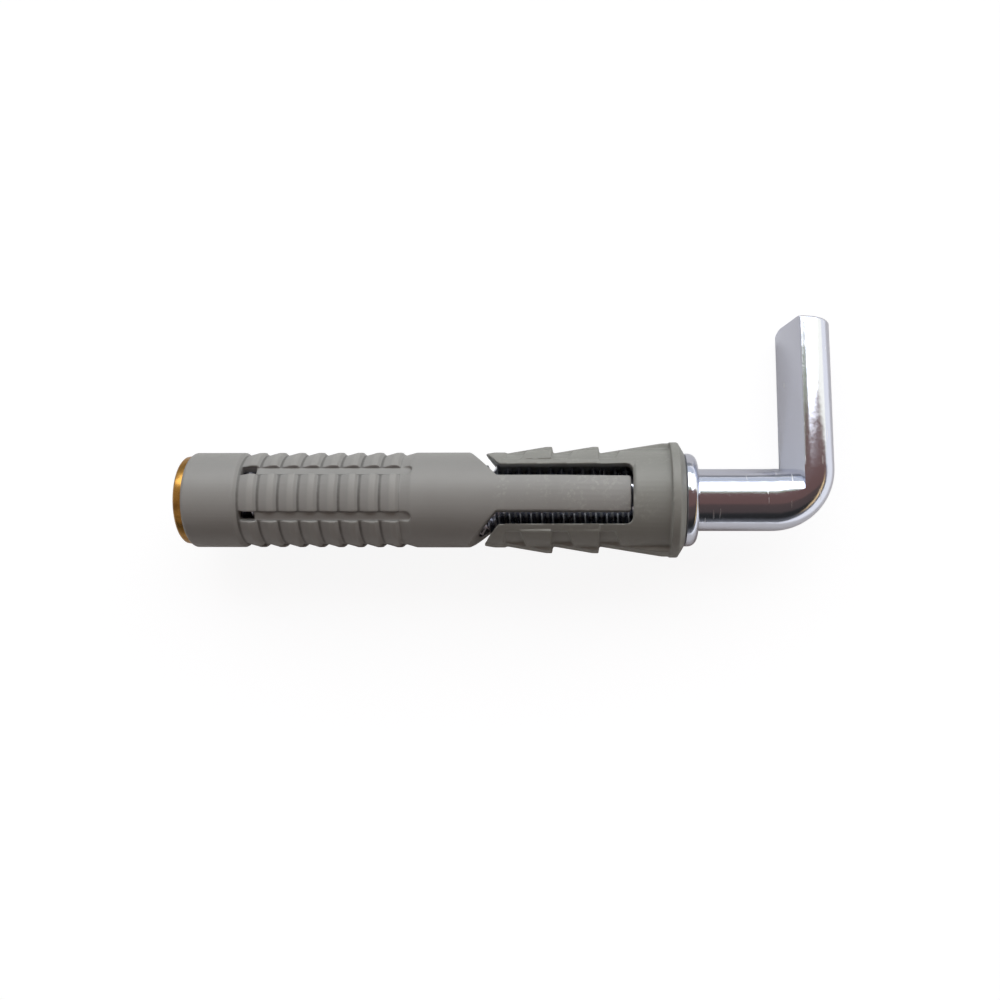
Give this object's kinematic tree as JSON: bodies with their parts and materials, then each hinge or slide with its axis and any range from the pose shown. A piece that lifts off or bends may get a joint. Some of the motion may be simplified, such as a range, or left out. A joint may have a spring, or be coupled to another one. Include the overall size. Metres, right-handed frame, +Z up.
{
  "type": "wall plug with hook",
  "caption": "Two-part plastic expansion plug with a brass cone nut and a threaded right-angle steel hook, lying at rest.",
  "frame": {"origin": "on the plug's axis, in the plane of the wall's face, which the back of the flange seats on", "axes": "+X along the plug's axis, out of the wall towards the hook; +Z up as the plug lies on a flat surface; the hook's arm points to +Y and dips about 10 degrees"},
  "size_m": [0.0928, 0.0345, 0.0164],
  "materials": {
    "zinc_plated_steel": "bright zinc plating on cold-formed steel",
    "brass": "plain turned",
    "lower_nylon": "satin moulded",
    "upper_nylon": "satin moulded"
  },
  "bodies": {
    "upper": {"upper_sleeve": "upper_nylon"},
    "lower": {"lower_sleeve": "lower_nylon", "cone_nut": "brass"},
    "hook": {"hook": "zinc_plated_steel"}
  },
  "joints": [
    {"name": "hook_turn", "type": "hinge", "parent": "upper", "child": "hook", "pos_m": [0, 0, 0], "axis": [-1, 0, 0], "range_deg": [-1800, 432]},
    {"name": "lower_slide", "type": "slide", "parent": "upper", "child": "lower", "axis": [1, 0, 0], "range_m": [-0.00751, 0.00181]}
  ],
  "couplings": [
    {"joint": "lower_slide", "follows": "hook_turn", "m_per_rad": 0.00023873}
  ]
}
